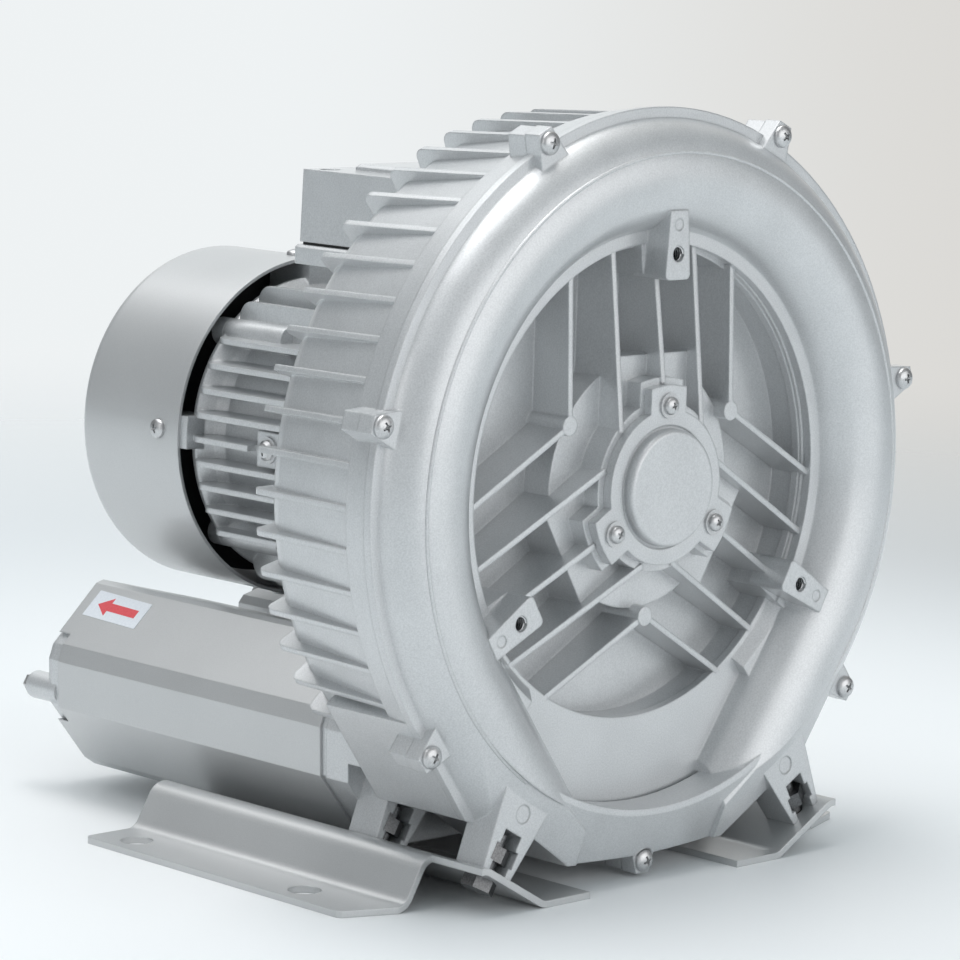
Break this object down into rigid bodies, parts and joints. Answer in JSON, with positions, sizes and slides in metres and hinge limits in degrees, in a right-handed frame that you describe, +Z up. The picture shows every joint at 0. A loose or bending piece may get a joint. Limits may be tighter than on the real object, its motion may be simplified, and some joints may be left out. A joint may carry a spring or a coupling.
{
  "type": "side channel blower",
  "caption": "Electric side channel blower with a finned pump ring, a direct-drive motor behind it, and two silencers below on pressed sheet feet.",
  "frame": {"origin": "on the floor, in the middle of the four foot holes", "axes": "+Z up, +Y along the shaft from the pump cover to the motor and out of both ports, +X to the right seen from the cover"},
  "size_m": [0.3326, 0.3179, 0.333],
  "materials": {
    "cast": "satin silver paint on a casting",
    "box_paint": "satin silver paint",
    "sheet": "smooth satin silver paint",
    "bracket_sheet": "smooth satin silver paint on pressed steel",
    "zinc": "bright zinc plating",
    "dark_steel": "black finish",
    "ground_steel": "ground",
    "bare_aluminium": "machined casting",
    "laminations": "stacked sheet",
    "copper": "enamelled copper wire",
    "black_rubber": "matte",
    "fan_plastic": "moulded",
    "gland_plastic": "moulded",
    "foam": "open-cell foam"
  },
  "bodies": {
    "machine": {"cover": "cast", "housing": "cast", "bearing_cap": "cast", "motor_frame": "cast", "end_shield": "cast", "silencer_cap_left": "cast", "silencer_cap_right": "cast", "terminal_box_base": "box_paint", "terminal_box_lid": "box_paint", "fan_cowl": "sheet", "silencer_shell_left": "sheet", "silencer_shell_right": "sheet", "foot_bracket_left": "bracket_sheet", "foot_bracket_right": "bracket_sheet", "rim_screws": "zinc", "cap_screws": "zinc", "cap_washers": "zinc", "cowl_screws": "zinc", "lid_screws": "zinc", "earth_screw": "zinc", "shield_screws": "zinc", "motor_bolts": "zinc", "foot_bolts": "zinc", "foot_nuts": "dark_steel", "silencer_bolts": "dark_steel", "front_bearing_outer": "ground_steel", "rear_bearing_outer": "ground_steel", "wave_spring": "ground_steel", "stator_core": "laminations", "stator_windings": "copper", "front_seal": "black_rubber", "rear_seal": "black_rubber", "terminal_box_gasket": "black_rubber", "terminal_block": "fan_plastic", "cable_gland": "gland_plastic", "silencer_liner_left": "foam", "silencer_liner_right": "foam"},
    "rotor": {"motor_shaft": "ground_steel", "impeller": "bare_aluminium", "impeller_key": "ground_steel", "impeller_spacer": "ground_steel", "rotor_core": "laminations", "front_bearing_inner": "ground_steel", "rear_bearing_inner": "ground_steel", "cooling_fan": "fan_plastic", "fan_clip": "ground_steel"},
    "front_cage": {"front_bearing_balls": "ground_steel"},
    "rear_cage": {"rear_bearing_balls": "ground_steel"}
  },
  "joints": [
    {"name": "rotor_spin", "type": "hinge", "parent": "machine", "child": "rotor", "pos_m": [0, 0, 0.1715], "axis": [0, 1, 0], "continuous": true},
    {"name": "front_cage_spin", "type": "hinge", "parent": "machine", "child": "front_cage", "pos_m": [0, 0, 0.1715], "axis": [0, 1, 0], "continuous": true},
    {"name": "rear_cage_spin", "type": "hinge", "parent": "machine", "child": "rear_cage", "pos_m": [0, 0, 0.1715], "axis": [0, 1, 0], "continuous": true}
  ],
  "couplings": [
    {"joint": "front_cage_spin", "follows": "rotor_spin", "ratio": 0.369},
    {"joint": "rear_cage_spin", "follows": "rotor_spin", "ratio": 0.3831}
  ]
}
